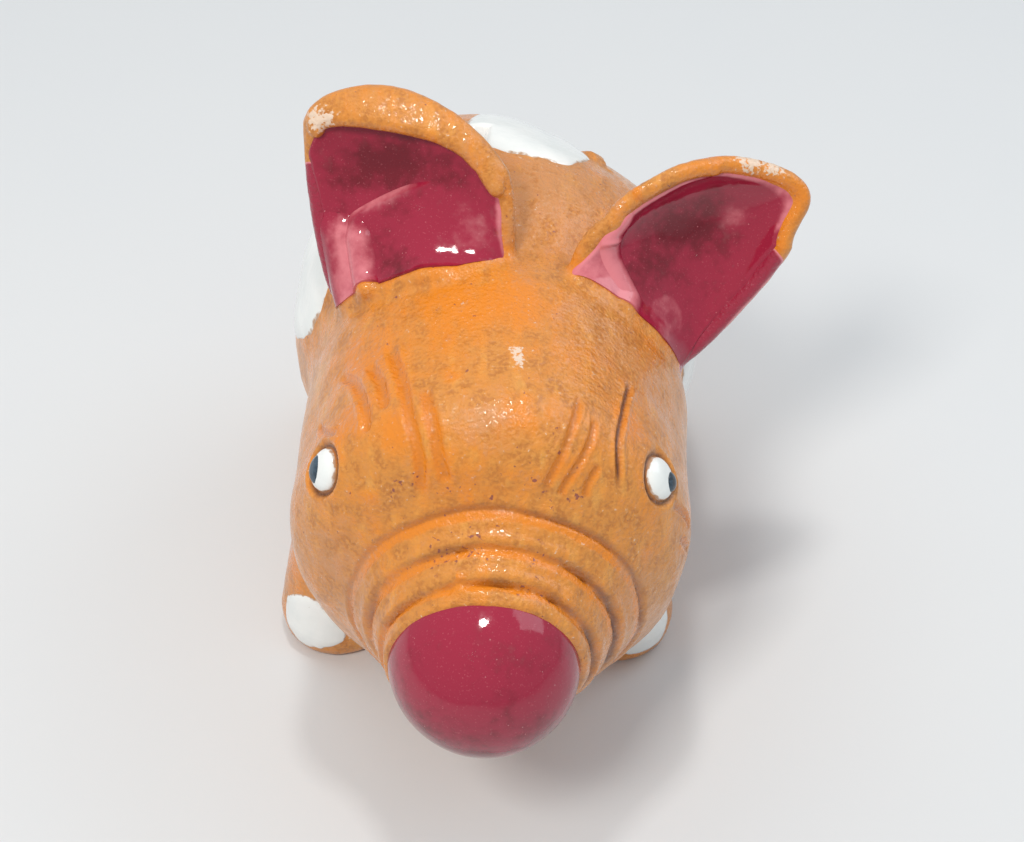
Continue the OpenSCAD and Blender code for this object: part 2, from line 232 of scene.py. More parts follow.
def snout_field(p):
    radius, ahead, ring = snout_places(p)
    opened = crack_openings(ring)
    strands = np.stack([ring[:, 0] * 0.5, ahead * 1.6, ring[:, 2] * 0.5], axis=1)
    height = 0.2 + 0.2 * (ahead > 0) * noise(strands, 1, 12)
    for start, end, drop, cut in FOLDS:
        t = (ahead - start) / (end - start)
        inside = (t >= 0) & (t < 1)
        rise = -drop * (1 - smooth_step(0.1, 0.5, t)) + 0.4 * smooth_step(0.55, 0.9, t)
        lip = smooth_step(0, 0.04, t)
        height += inside * (0.25 * (1 - lip) + rise * lip - 0.2)
        height -= cut * opened * np.exp(-((ahead - start - 0.2) / 0.28) ** 2)
    wall = (radius - np.interp(ahead, CONE_AHEAD, CONE_RADIUS) - height) * CONE_COS
    return np.maximum(smooth_max(wall, SNOUT_END_Y - p[:, 1], 1.2), p[:, 1] - FACE_SEAM_Y)


LEG_BOXES = {
    leg: box(leg) for leg in ("leg_front_left", "leg_front_right", "leg_rear_left", "leg_rear_right")
}
FOOT_Z, SHOULDER_Z = 5, 27
LEG_LEAN = 2


def leg_field(p, node):
    """A cone from a round foot to a smaller round shoulder that leans towards the belly."""
    low, high = LEG_BOXES[node]
    foot = np.append((low[:2] + high[:2]) / 2, FOOT_Z)
    lean = np.array([-np.sign(foot[0]) * LEG_LEAN, -np.sign(foot[1]) * LEG_LEAN, SHOULDER_Z - FOOT_Z])
    foot_radius = (high[0] - low[0]) / 2
    t = np.clip((p - foot) @ lean / (lean @ lean), 0, 1)
    field = np.linalg.norm(p - foot - t[:, None] * lean, axis=1) - foot_radius + LEG_LEAN * t
    return smooth_max(field, -p[:, 2], 1.5)


def polyline_distance(p, line):
    """The distance to the nearest place on a line of points, and how far along it that is."""
    best = np.full(len(p), 1e9)
    along = np.zeros(len(p))
    for i, (a, b) in enumerate(zip(line[:-1], line[1:])):
        t = np.clip((p - a) @ (b - a) / ((b - a) @ (b - a)), 0, 1)
        d = np.linalg.norm(p - a - t[:, None] * (b - a), axis=1)
        nearer = d < best
        best[nearer] = d[nearer]
        along[nearer] = (i + t[nearer]) / (len(line) - 1)
    return best, along


def spline(points, count):
    """Count points on a smooth curve through the given points."""
    points = np.array(points, float)
    ends = np.vstack([2 * points[0] - points[1], points, 2 * points[-1] - points[-2]])
    made = []
    for s in np.linspace(0, len(points) - 1, count):
        i = min(int(s), len(points) - 2)
        t = s - i
        a, b, c, d = ends[i:i + 4]
        made.append(0.5 * (2 * b + (c - a) * t + (2 * a - 5 * b + 4 * c - d) * t ** 2
                           + (3 * b - a - 3 * c + d) * t ** 3))
    return np.array(made)


TAIL_LOW, TAIL_HIGH = box("tail")
TAIL_ROOT_RADIUS, TAIL_TIP_RADIUS = 3.2, 1.7
# How far the tail's middle line stays inside its CAD box, lies low in it and ends short of it
TAIL_INSET, TAIL_DROP, TAIL_SHORT = 3.3, 1, 2.5
CURL_LENGTH = 8


def tail_line():
    """The tail leaves the belly backwards and makes one turn of a curl."""
    radius = (TAIL_HIGH[2] - TAIL_LOW[2]) / 2 - TAIL_INSET
    middle = (TAIL_LOW[2] + TAIL_HIGH[2]) / 2 - TAIL_DROP
    end = TAIL_HIGH[1] - TAIL_SHORT
    start = end - CURL_LENGTH
    turns = np.linspace(0, 1, 24)
    return np.stack([
        radius * np.sin(2 * math.pi * turns),
        start + (end - start) * turns ** 0.6,
        middle - radius * np.cos(2 * math.pi * turns),
    ], axis=1)


TAIL_LINE = tail_line()


def tail_field(p):
    near = in_box(p, TAIL_LOW - 6, TAIL_HIGH + 6)
    field = np.full(len(p), 20.0)
    d, along = polyline_distance(p[near], TAIL_LINE)
    field[near] = d - TAIL_ROOT_RADIUS + (TAIL_ROOT_RADIUS - TAIL_TIP_RADIUS) * along
    return field


# ---- ears

# Rows of places on the middle of each ear's slab, from its root to its rim
EAR_RIGHT = [
    [(-26, -21, 72), (-19, -26, 78), (-11, -28.5, 83.5), (-4, -27, 85.5), (2, -23, 85)],
    [(-30, -15, 84), (-23, -14, 87), (-14, -15.5, 90), (-5, -17, 92), (2.5, -19, 92)],
    [(-31.5, -8, 97), (-27, -6, 101.6), (-17, -5.5, 103.3), (-6, -10.3, 101.6), (1.5, -16, 97.5)],
    [(-30.5, -9, 101.5), (-25, -9.4, 104.3), (-15.5, -11.3, 104.4), (-6.8, -12.8, 102.3), (0.8, -18, 96.3)],
]
EAR_LEFT = [
    [(15, -24.5, 83), (19, -27, 81), (25.5, -28.5, 75.5), (30, -28, 69.5), (32.5, -26, 64)],
    [(18.5, -20.5, 89.5), (24, -17.5, 85), (30, -16.5, 79), (35.5, -18, 73), (38.5, -22.5, 68)],
    [(27.5, -15.5, 95), (33.5, -10.5, 90.5), (39, -9.5, 85.5), (43, -12, 80), (45.5, -18.5, 75)],
    [(38, -11.5, 96.5), (45, -9.5, 95), (52.5, -9.5, 91.5), (53.5, -11.5, 87.5), (51, -15.5, 82.5)],
]
EAR_HALF = 1.55
EAR_CELLS = 56


def lagrange(count, t):
    """The weights at t of count evenly spaced places from 0 to 1, one row for each t."""
    places = np.linspace(0, 1, count)
    return np.stack([
        np.prod([(t - other) / (place - other) for other in places if other != place], axis=0)
        for place in places
    ], axis=1)


def facing_of(sheet, towards):
    """The unit normals of a grid of points, on the side that faces towards."""
    normals = unit(np.cross(np.gradient(sheet, axis=0), np.gradient(sheet, axis=1)))
    return normals * np.sign(np.mean(normals @ np.array(towards)))


def ear_sheet(rows, bumps, cells=EAR_CELLS):
    """The middle surface of an ear as a grid of points, with its facing normals, u and v."""
    t = np.linspace(0, 1, cells + 1)
    across = lagrange(len(rows[0]), t)
    up = lagrange(len(rows), t)
    sheet = np.einsum("ia,jb,abk->ijk", up, across, np.array(rows, float))
    u, v = np.meshgrid(t, t, indexing="ij")
    facing = facing_of(sheet, (0, -1, 0.3))
    sheet = sheet + facing * (bumps(u, v) + 0.35 * noise(sheet, 7, 8))[..., None]
    return sheet, facing_of(sheet, (0, -1, 0.3)), u, v


def right_flap(u, v):
    """Where the outer side of the pig's right ear is rolled inwards over its root."""
    top = 0.38 - 0.3 * v
    return band(v, 0, 0.1, 0.24, 0.3) * (1 - smooth_step(top - 0.06, top + 0.02, u))


def right_fold_edge(v):
    """How far up the pig's right ear the second layer of its slab reaches."""
    return 0.27 + 0.19 * v


def right_fold(u, v):
    """Where a second layer of the slab lies in the hollow of the pig's right ear."""
    edge = right_fold_edge(v)
    return band(v, 0.2, 0.26, 0.48, 0.72) * (1 - smooth_step(edge - 0.015, edge + 0.02, u))


def left_crease(u):
    """How far across the pig's left ear a thumb's crease runs, at each height above the root."""
    return 0.03 + 0.3 * np.clip((0.42 - u) / 0.32, 0, 1.1) ** 1.8


def left_fold(u, v):
    """The raised crease beside the root of the pig's left ear."""
    return np.exp(-((v - left_crease(u)) / 0.045) ** 2) * (1 - smooth_step(0.4, 0.5, u))


EAR_SHAPES = {
    "ear_right": (EAR_RIGHT, lambda u, v: 2.4 * right_flap(u, v) + 1.6 * right_fold(u, v)),
    "ear_left": (EAR_LEFT, lambda u, v: 0.8 * left_fold(u, v)),
}
EARS = {name: ear_sheet(*shape) for name, shape in EAR_SHAPES.items()}


def grid_quads(rows, columns):
    """The faces of a grid of points that is listed row by row."""
    i, j = np.indices((rows - 1, columns - 1))
    a = (i * columns + j).ravel()
    return np.stack([a, a + 1, a + columns + 1, a + columns], axis=1)


def tree_of(sheet):
    quads = grid_quads(*sheet.shape[:2]).tolist()
    return BVHTree.FromPolygons(sheet.reshape(-1, 3).tolist(), quads)


EAR_TREES = {name: tree_of(ear[0]) for name, ear in EARS.items()}


def ear_field(p, name):
    reach = 6
    field = np.full(len(p), float(reach))
    for index in near_places(p, EARS[name][0].reshape(-1, 3), reach):
        found = EAR_TREES[name].find_nearest(Vector(p[index]), reach)
        if found[0] is not None:
            field[index] = found[3] - EAR_HALF
    return field


# ---- the whole clay body

def slot_field(p):
    q = np.abs(p - SLOT_MIDDLE) - SLOT_HALF
    return np.linalg.norm(np.maximum(q, 0), axis=1) + np.minimum(q.max(axis=1), 0)


def bung_hole_field(p):
    across = np.hypot(p[:, 0] - BUNG_X, p[:, 1] - BUNG_Y)
    bore = np.maximum(across - BORE_RADIUS, p[:, 2] - BELLY_Z)
    recess = np.maximum(across - RECESS_RADIUS, p[:, 2] - RECESS_TOP)
    return np.minimum(bore, recess)


# How widely one form of clay is smoothed into the next, and how far the rims of holes are rounded
HEAD_BLEND, LEG_BLEND, TAIL_BLEND, SNOUT_BLEND, EAR_BLEND = 5, 4, 2, 2, 2.2
SLOT_RIM, HOLE_RIM = 1, 0.8


def form_field(p):
    """The clay before anything is drawn into it."""
    field = smooth_min(belly_field(p), head_field(p), HEAD_BLEND)
    field = field - 0.5 * noise(p, 15, 1) - 0.16 * noise(p, 5.5, 2)
    for leg in LEG_BOXES:
        field = smooth_min(field, leg_field(p, leg), LEG_BLEND)
    field = smooth_min(field, tail_field(p), TAIL_BLEND)
    field = smooth_min(field, snout_field(p), SNOUT_BLEND)
    for ear in EARS:
        field = smooth_min(field, ear_field(p, ear), EAR_BLEND)
    field = smooth_max(field, -slot_field(p), SLOT_RIM)
    return smooth_max(field, -bung_hole_field(p), HOLE_RIM)


def slope_of(field, points, step=0.2):
    """The unit direction in which a field grows, at each point."""
    slopes = [field(points + way) - field(points - way) for way in step * np.eye(3)]
    return unit(np.stack(slopes, axis=1))


def on_clay(points, way=None):
    """The points moved onto the surface of the form, along way or by the shortest way."""
    points = np.array(points, float)
    for _ in range(6):
        direction = slope_of(form_field, points) if way is None else way
        points = points - 0.9 * direction * form_field(points)[:, None]
    return points


# Lines drawn in the wet clay of the forehead and the cheek: their kind and the places that they
# run through, which are then laid on the surface. A kind is the depth, the half width, how much
# painted shade darkens the line and how much glaze runs into it. A bead or a lump of clay stands proud.
SOFT, CUT, DEEP = (1.15, 0.7, 0.15, 1), (1.05, 0.5, 0.35, 0.7), (1.6, 0.5, 1, 0.5)
BEAD, LUMP = (-0.6, 0.9, 0, 1), (-1.4, 2.2, 0, 0)
LINES = [
    (SOFT, [(-25, -43, 75), (-21.5, -48.5, 78.5), (-19, -57, 80), (-19, -61, 79.5)]),
    (SOFT, [(-19.5, -45, 80), (-17, -52, 81.5), (-16, -58, 82)]),
    (SOFT, [(-17, -41, 82), (-13.5, -53, 83.5), (-11.5, -62, 83), (-10, -67, 80), (-10, -70, 74)]),
    (SOFT, [(-10, -55, 85), (-8, -62.5, 84), (-6.5, -68, 80), (-5.5, -69.5, 77.5)]),
    (CUT, [(15.5, -54.5, 83.5), (14, -62.5, 82.5), (11.5, -67.5, 79), (10, -69.5, 76.5)]),
    (CUT, [(18, -58.5, 82), (17, -63.5, 80.5), (13.5, -68.5, 77), (12.5, -69.5, 75)]),
    (CUT, [(19, -65, 78), (17, -67.5, 76), (16.5, -69, 74)]),
    (DEEP, [(24.5, -44.5, 77.5), (23, -53, 78.5), (22, -60.5, 78.5), (22, -66.5, 73.5)]),
    (CUT, [(31, -62, 65.5), (33.5, -60, 60.5), (34.5, -59.5, 56.5)]),
    (CUT, [(33, -63, 58), (34.5, -61, 53)]),
    (CUT, [(-29.5, -50, 71), (-28, -54.5, 74), (-25, -57, 76)]),
    (BEAD, [(24, -17, 95), (25.5, -16.8, 95.5)]),
    (BEAD, [(-3.9, -81.2, 66.8), (-2.3, -81.4, 67)]),
    (LUMP, [(17, 16, 77.5), (19.5, 17, 75.5)]),
]
DRAWN = [(*kind, on_clay(spline(places, 6 * len(places)))) for kind, places in LINES]


def near_line(p, line, reach):
    """The indexes of the points near a line, their distance from it, and how far along it they are."""
    near = near_places(p, line, reach)
    return near, *polyline_distance(p[near], line)


def faded(along):
    """A drawn line fades in at its start and out at its end."""
    return band(along, 0, 0.12, 0.88, 1)


def lines_field(p):
    """How deep the drawn lines cut, less the low ridge of clay that each throws up beside it."""
    cut = np.zeros(len(p))
    for depth, width, _, _, line in DRAWN:
        near, d, along = near_line(p, line, 4 * width)
        valley = np.exp(-(d / width) ** 2)
        ridge = 0.25 * np.exp(-((d / width - 2) / 0.8) ** 2)
        cut[near] += depth * faded(along) * (valley - ridge)
    return cut


def seat(node, shift, rise, reach):
    """A place on the clay beside the middle of a CAD node, the way out of the clay, and the way up."""
    low, high = box(node)
    place = on_clay([(low + high) / 2 + shift])
    out = slope_of(form_field, place, reach)[0]
    return place[0], out, unit(rise - out * np.dot(rise, out))


class Eye:
    """An eye's place on the clay, with its directions out, up and across."""

    def __init__(self, node, shift):
        self.place, self.out, self.up = seat(node, shift, (0, 0.83, 0.55), 2)
        self.across = np.cross(self.up, self.out)

    def near(self, p):
        """The indexes of the points near the eye."""
        return np.flatnonzero(np.linalg.norm(p - self.place, axis=1) < 8)

    def roundness(self, p):
        """0 at the middle of the eye and 1 at its edge."""
        q = p - self.place
        return np.hypot(q @ self.up / EYE_HIGH, q @ self.across / EYE_WIDE)


EYE_HIGH, EYE_WIDE = 3.7, 3.5
EYE_SHIFTS = {"eye_right": (0.6, 0, 0.5), "eye_left": (0.6, 0.5, -0.4)}
EYES = {node: Eye(node, shift) for node, shift in EYE_SHIFTS.items()}


def sockets_field(p):
    """The groove that a tool pressed round each eye, with a notch above it."""
    cut = np.zeros(len(p))
    for eye in EYES.values():
        near = eye.near(p)
        r = eye.roundness(p[near])
        cut[near] += 0.8 * np.exp(-((r - 1.1) / 0.13) ** 2) - 0.2 * np.exp(-((r - 1.45) / 0.16) ** 2)
        notch = np.linalg.norm(p[near] - eye.place - eye.up * EYE_HIGH * 1.35, axis=1)
        cut[near] += 0.6 * np.exp(-(notch / 0.8) ** 2)
    return cut


def clay_field(p):
    field = form_field(p) + lines_field(p) + sockets_field(p)
    strokes = noise(p * [1, 0.25, 0.3], 1.1, 6)
    return field - 0.05 * noise(p, 1.8, 7) - 0.05 * strokes


# ---- glaze and dirt on the clay

# Where the clear glaze lies thick, where a pale film lies on it, where it is worn off, and where
# iron specks lie: places and their reach. The pale film at the middle of the forehead is a painted
# sheen, and the worn streak on the forehead is a painted highlight.
POOLED = [
    ((-6, -36, 86), 7), ((3.5, -36, 87), 7), ((-19.5, -44, 79.5), 6), ((-21, -55, 78.5), 5),
    ((-13.5, -62, 81.5), 4), ((5.5, -62, 84.5), 3), ((24.5, -55, 77.5), 3), ((-38, -33, 20), 7),
]
# Pale film; the spot at the middle of the forehead paints a sheen.
FILM_AND_SHEEN_SPOTS = [
    ((19, -37, 81.5), 9), ((28.5, -45, 73), 8), ((-24.5, -69.5, 58.5), 7), ((-22, -75, 54.5), 6),
    ((24, -72, 57.5), 5), ((30, -64, 45), 6), ((0.5, -63.5, 85), 5), ((8, -4, 87), 20),
]
# Worn spots at the ears' tips; the three spots on the forehead paint a white highlight streak.
WORN_AND_HIGHLIGHT_SPOTS = [
    ((-30, -9, 103.5), 2.2), ((-28.5, -10, 104.5), 1.5), ((44.5, -9.5, 97), 2.6), ((49, -9.5, 96), 2.2),
    ((5, -48, 86.5), 1), ((5.3, -49.6, 86.3), 1.1), ((5.6, -51.2, 86.1), 0.9),
]
SPECKED = [
    ((-14, -68.5, 75.5), 1.8), ((-11.5, -68, 77.5), 1.8), ((-5, -70, 76.5), 1.4),
    ((2, -70.5, 75.5), 1.3), ((11.5, -66, 81), 1.3), ((10.5, -70, 75), 2), ((15, -69.5, 74.5), 1.4),
    ((17, -70, 71), 1.3), ((8.5, -69, 78), 1.6), ((-15.5, -31.5, 82.5), 1.6),
    ((-1, -76, 70), 3.5), ((8, -80, 67.5), 3.5), ((-6.5, -78, 68.5), 3.5),
]

# Rows of an ear's sheet where the clear glaze gathers: the row, how thick it lies, and its reach
WET_ROWS = [(-1, 0.9, 1.7), (5, 0.7, 2.2)]
# Where the maroon glaze runs over an ear's rim: the ear, the column of its sheet, the first and
# last row, and the reach
GLAZED_RIMS = [("ear_left", -1, 2, 52, 1.9), ("ear_right", 0, 4, 34, 1.9)]


def nearness(p, spots):
    """How near each point is to one of the spots, from 0 to 1."""
    best = np.zeros(len(p))
    for place, reach in spots:
        best = np.maximum(best, np.exp(-(np.linalg.norm(p - place, axis=1) / reach) ** 2))
    return best


def clay_paint(p):
    """How much thick glaze, film, wear, specks and painted shade there is at points on the clay, 0 to 1.
    The film also paints a sheen, and the wear a highlight streak, on the forehead.
    """
    radius, ahead, ring = snout_places(p)
    on_snout = (ahead > 0) * (radius < 27)
    pool, groove_shade = nearness(p, POOLED), np.zeros(len(p))
    opened = crack_openings(ring)
    for start, end, _, cut in FOLDS:
        t = (ahead - start) / (end - start)
        pool = np.maximum(pool, 0.95 * band(t, -0.02, 0.04, 0.28, 0.42) * on_snout)
        # Painted shade darkens each crack between the folds.
        crack = np.exp(-((ahead - start - 0.15) / 0.3) ** 2)
        groove_shade = np.maximum(groove_shade, np.clip(0.9 * cut * opened, 0, 0.9) * crack * on_snout)
    for _, width, shade, wet, line in DRAWN:
        near, d, along = near_line(p, line, 4)
        aside = np.sqrt(np.maximum(d ** 2 - form_field(p[near]) ** 2, 0))
        # Painted shade darkens each drawn line, as much as its kind says.
        at_least(groove_shade, near, shade * faded(along) * np.exp(-(aside / width / 0.7) ** 2))
        at_least(pool, near, wet * faded(along) * np.exp(-(aside / width / 1.8) ** 2))
    for eye in EYES.values():
        near = eye.near(p)
        # Painted shade darkens the groove round each eye.
        at_least(groove_shade, near, 0.9 * np.exp(-((eye.roundness(p[near]) - 1.1) / 0.12) ** 2))
    for sheet, facing, _, _ in EARS.values():
        for row, wet, reach in WET_ROWS:
            line = (sheet[row] + facing[row] * EAR_HALF)[::4]
            near, d, _ = near_line(p, line, 4 * reach)
            at_least(pool, near, wet * np.exp(-(d / reach) ** 2))
    glazed = np.zeros(len(p))
    for name, column, first, last, reach in GLAZED_RIMS:
        sheet, facing = EARS[name][:2]
        line = (sheet + facing * EAR_HALF * 0.5)[first:last:3, column]
        near, d, _ = near_line(p, line, 2 * reach)
        at_least(glazed, near, 1 - smooth_step(0.7 * reach, 1.3 * reach, d))
    return {
        "pool": pool, "film_and_sheen": nearness(p, FILM_AND_SHEEN_SPOTS), "wear_and_highlight": nearness(p, WORN_AND_HIGHLIGHT_SPOTS),
        "specks": nearness(p, SPECKED), "groove_shade": groove_shade, "glazed": glazed,
    }


def painted(made, shares):
    """Stores shares from 0 to 1 on the vertices of a piece, for its material."""
    for name, values in shares.items():
        layer = made.data.attributes.new(name, "FLOAT", "POINT")
        layer.data.foreach_set("value", np.ascontiguousarray(values, np.float32))
    return made


# ---- meshes

BLOCK = 8


def evaluate(field, points):
    """A field at many points, a share at a time."""
    share = 400000
    return np.concatenate([field(points[i:i + share]) for i in range(0, len(points), share)])


def mesh_of(field, low, high):
    """The closed surface where field is 0, as points and quads. Only the blocks near it are filled."""
    blocks = np.ceil((high - low) / (VOXEL * BLOCK)).astype(int)
    corners = np.indices(blocks).reshape(3, -1).T
    middles = low + (corners + 0.5) * BLOCK * VOXEL
    rough = evaluate(field, middles)
    reach = VOXEL * BLOCK * math.sqrt(3) / 2 + 1.5
    values = np.empty(tuple(blocks * BLOCK))
    view = values.reshape(blocks[0], BLOCK, blocks[1], BLOCK, blocks[2], BLOCK)
    view[:] = np.sign(rough).reshape(blocks)[:, None, :, None, :, None] * reach
    near = corners[np.abs(rough) < reach]
    cells = np.indices([BLOCK] * 3).reshape(3, -1).T
    indices = (near[:, None] * BLOCK + cells).reshape(-1, 3)
    values[tuple(indices.T)] = evaluate(field, low + indices * VOXEL)
    grid = openvdb.FloatGrid(reach)
    grid.copyFromArray(values)
    points, quads = grid.convertToQuads()
    return low + points * VOXEL, quads


def linked(name, data):
    """A new object in the scene, made of its data."""
    made = bpy.data.objects.new(name, data)
    bpy.context.scene.collection.objects.link(made)
    return made


def piece(name, points, faces):
    """A Blender object from points in the pig's frame."""
    mesh = bpy.data.meshes.new(name)
    mesh.from_pydata(((np.asarray(points) + ORIGIN) * MM).tolist(), [], [list(face) for face in faces])
    mesh.validate()
    return linked(name, mesh)


def points_of(made):
    """The vertices of a piece, in the pig's frame."""
    flat = np.empty(len(made.data.vertices) * 3, np.float32)
    made.data.vertices.foreach_get("co", flat)
    return flat.reshape(-1, 3).astype(float) / MM - ORIGIN


def moved(made, points):
    """Puts the vertices of a piece at new points in the pig's frame."""
    made.data.vertices.foreach_set("co", ((points + ORIGIN) * MM).ravel())
    return made


def combined(first, second, operation, name):
    """A new piece: first INTERSECT, DIFFERENCE or UNION second."""
    modifier = first.modifiers.new("join", "BOOLEAN")
    modifier.object = second
    modifier.operation = operation
    modifier.solver = "MANIFOLD"
    graph = bpy.context.evaluated_depsgraph_get()
    mesh = bpy.data.meshes.new_from_object(first.evaluated_get(graph))
    first.modifiers.remove(modifier)
    mesh.name = name
    return linked(name, mesh)


def dropped(*pieces):
    for made in pieces:
        bpy.data.objects.remove(made)


def split(whole, cutter, inside_name):
    """The part of whole inside the cutter, and the rest. The cutter and the whole go."""
    inside = combined(whole, cutter, "INTERSECT", inside_name)
    rest = combined(whole, cutter, "DIFFERENCE", "rest")
    dropped(whole, cutter)
    return inside, rest


def disc(rings, sides):
    """Places in a disc of radius 1, ring by ring from its middle, as radius and angle."""
    radius = np.repeat(np.arange(1, rings + 1) / rings, sides)
    angle = np.tile(np.linspace(0, 2 * math.pi, sides, endpoint=False), rings)
    return np.append(0, radius), np.append(0, angle)


def disc_faces(rings, sides):
    faces = []
    for k in range(sides):
        nxt = (k + 1) % sides
        faces.append([0, 1 + k, 1 + nxt])
        for ring in range(rings - 1):
            a, b = 1 + ring * sides, 1 + (ring + 1) * sides
            faces.append([a + k, b + k, b + nxt, a + nxt])
    return faces


def revolved(name, outline, middle, axis="Z", sides=160):
    """A closed solid from half an outline of (radius, distance along the axis), axis to axis."""
    rings = len(outline) - 2
    radius, along = np.repeat(outline[1:-1], sides, axis=0).T
    angle = disc(rings, sides)[1][1:]
    points = np.stack([radius * np.cos(angle), radius * np.sin(angle), along], axis=1)
    points = np.vstack([(0, 0, outline[0][1]), points, (0, 0, outline[-1][1])])
    if axis == "-Y":
        points = points[:, [0, 2, 1]] * [1, -1, 1]
    last = rings * sides + 1
    edge = last - sides
    faces = [face[::-1] for face in disc_faces(rings, sides)]
    faces += [[last, edge + k, edge + (k + 1) % sides] for k in range(sides)]
    return piece(name, points + middle, faces)


def arc(middle, radius, start, end, count):
    """Places on an arc, as (radius, along), from one angle to another in degrees."""
    return [
        (middle[0] + radius * math.cos(math.radians(a)), middle[1] + radius * math.sin(math.radians(a)))
        for a in np.linspace(start, end, count)
    ]


def capsule(name, grow):
    """The belly's form, larger by grow all round."""
    radius = BELLY_RADIUS + grow
    outline = arc((0, -BELLY_HALF), radius, -90, 0, 40) + arc((0, BELLY_HALF), radius, 0, 90, 40)
    return revolved(name, outline, [0, 0, BELLY_Z], "-Y")


def dented(made):
    """A form of the belly, pressed in where the clay outside it is."""
    points = points_of(made)
    out = unit(points - belly_core(points))
    return moved(made, points - out * dent(points + out * WALL)[:, None])


def barrel(name, grow):
    """The head's form, larger by grow all round."""
    outline = [(0, -NAPE_Y - grow)]
    outline += arc((HEAD_RADIUS - NAPE_ROUND, -NAPE_Y + NAPE_ROUND), NAPE_ROUND + grow, -90, 0, 30)
    outline += arc((HEAD_RADIUS - FACE_ROUND, -FACE_SEAM_Y), FACE_ROUND + grow, 0, 90, 30)
    outline += [(0, grow - FACE_Y)]
    return revolved(name, outline, [HEAD_X, 0, HEAD_Z], "-Y")


def block(name, low, high):
    corners = [[x, y, z] for x in (low[0], high[0]) for y in (low[1], high[1]) for z in (low[2], high[2])]
    faces = [[0, 1, 3, 2], [4, 6, 7, 5], [0, 4, 5, 1], [2, 3, 7, 6], [0, 2, 6, 4], [1, 5, 7, 3]]
    return piece(name, corners, faces)


def without(cutter, *solids):
    """The cutter less each of the solids, which stay."""
    for solid in solids:
        smaller = combined(cutter, solid, "DIFFERENCE", cutter.name)
        dropped(cutter)
        cutter = smaller
    return cutter


# The space that the clay fills, how far the cuts reach, and where the snout and the legs are cut
CLAY_LOW = np.array([-48, FACE_Y - 22, -3])
CLAY_HIGH = np.array([62, BELLY_RADIUS + BELLY_HALF + 12, 116])
FAR, SNOUT_CUT_RADIUS, SNOUT_CUT_Y, LEG_CUT_Z = 120, 29, FACE_Y + 2, 36


def cut_boxes():
    """The boxes round the pieces that stand out from the belly and the head."""
    boxes = {name: (ear[0].min((0, 1)) - 4, ear[0].max((0, 1)) + 4) for name, ear in EARS.items()}
    for leg, (low, high) in LEG_BOXES.items():
        boxes[leg] = (low - [3, 3, 6], (high[0] + 3, high[1] + 3, LEG_CUT_Z))
    boxes["tail"] = (TAIL_LOW - 3, TAIL_HIGH + 4)
    return boxes


def ahead_of(y):
    """A cutter that holds everything ahead of a place along the pig."""
    return block("cut", (-FAR, -FAR, -FAR), (FAR, y, FAR))


def clay_pieces():
    """The clay, cut along its joints into one closed piece for each CAD node."""
    rest = piece("clay", *mesh_of(clay_field, CLAY_LOW, CLAY_HIGH))
    pieces = {}
    belly, head = capsule("belly", 1), barrel("head", 0.7)
    for name, corners in cut_boxes().items():
        pieces[name], rest = split(rest, without(block("cut", *corners), belly, head), name)
    outline = [(0, -FAR), (SNOUT_CUT_RADIUS, -FAR), (SNOUT_CUT_RADIUS, FAR), (0, FAR)]
    ring = revolved("ring", outline, [SNOUT_X, 0, SNOUT_Z], "-Y")
    around = ahead_of(SNOUT_CUT_Y)
    cone = combined(around, ring, "INTERSECT", "cut")
    dropped(around, ring)
    pieces["snout"], rest = split(rest, cone, "snout")
    bowls, rest = split(rest, belly, "bowls")
    pieces["head_face"], pieces["head_barrel"] = split(rest, ahead_of(FACE_SEAM_Y), "head_face")
    hollow = dented(capsule("hollow", -WALL))
    bowls = without(bowls, hollow)
    pieces["body_front_bowl"], pieces["body_rear_bowl"] = split(bowls, ahead_of(SEAM_Y), "front")
    hollow_head = barrel("hollow_head", 0.5 - WALL)
    for name in ("head_face", "head_barrel"):
        pieces[name] = without(pieces[name], hollow_head)
    dropped(head, hollow, hollow_head)
    return pieces


def closed(name, top, under, faces, rim):
    """A closed piece of two sheets with the same faces, joined all round their rim."""
    count = len(top)
    after = np.roll(rim, -1)
    sides = np.stack([after, rim, rim + count, after + count], axis=1).tolist()
    back = [[count + i for i in reversed(face)] for face in faces]
    return piece(name, np.vstack([top, under]), faces + back + sides)


def skin(name, middle, out, up, outline, height, depth=0.9, rings=40, sides=128):
    """A closed skin laid on the clay round middle. The outline gives its radius at each angle from
    up, and height gives how far it stands proud at each share of that radius and angle."""
    radius, angle = disc(rings, sides)
    across = np.cross(up, out)
    reach = (radius * outline(angle))[:, None]
    flat = middle + reach * (np.cos(angle)[:, None] * up + np.sin(angle)[:, None] * across)
    laid = on_clay(flat, out)
    top = laid + out * height(radius, angle)[:, None]
    rim = np.arange(len(top) - sides, len(top))
    made = closed(name, top, laid - out * depth, disc_faces(rings, sides), rim)
    thin = smooth_step(0.84, 1, radius + 0.05 * noise(laid, 1.5, 33))
    return painted(made, {"thin": np.tile(thin, 2)})


def dome(proud, edge, power):
    """A height that is proud in the middle and falls to edge at the rim."""
    return lambda radius, angle: edge + (proud - edge) * np.maximum(1 - radius ** power, 0) ** 0.5


def oval(high, wide, wobble=0.0, seed=0):
    """The radius of an oval at each angle, with an uneven edge."""
    def radius(angle):
        smooth = 1 / np.hypot(np.cos(angle) / high, np.sin(angle) / wide)
        ring = np.stack([np.cos(angle), np.sin(angle), 0 * angle], axis=1)
        return smooth * (1 + wobble * noise(ring, 0.7, seed) + 0.4 * wobble * noise(ring, 0.2, seed))
    return radius


# A pupil's half height and half width, and its place across and up from the middle of its eye
PUPILS = {"right": (2.6, 2, 0.9, 0.1), "left": (1.9, 1.8, 1.6, -0.4)}


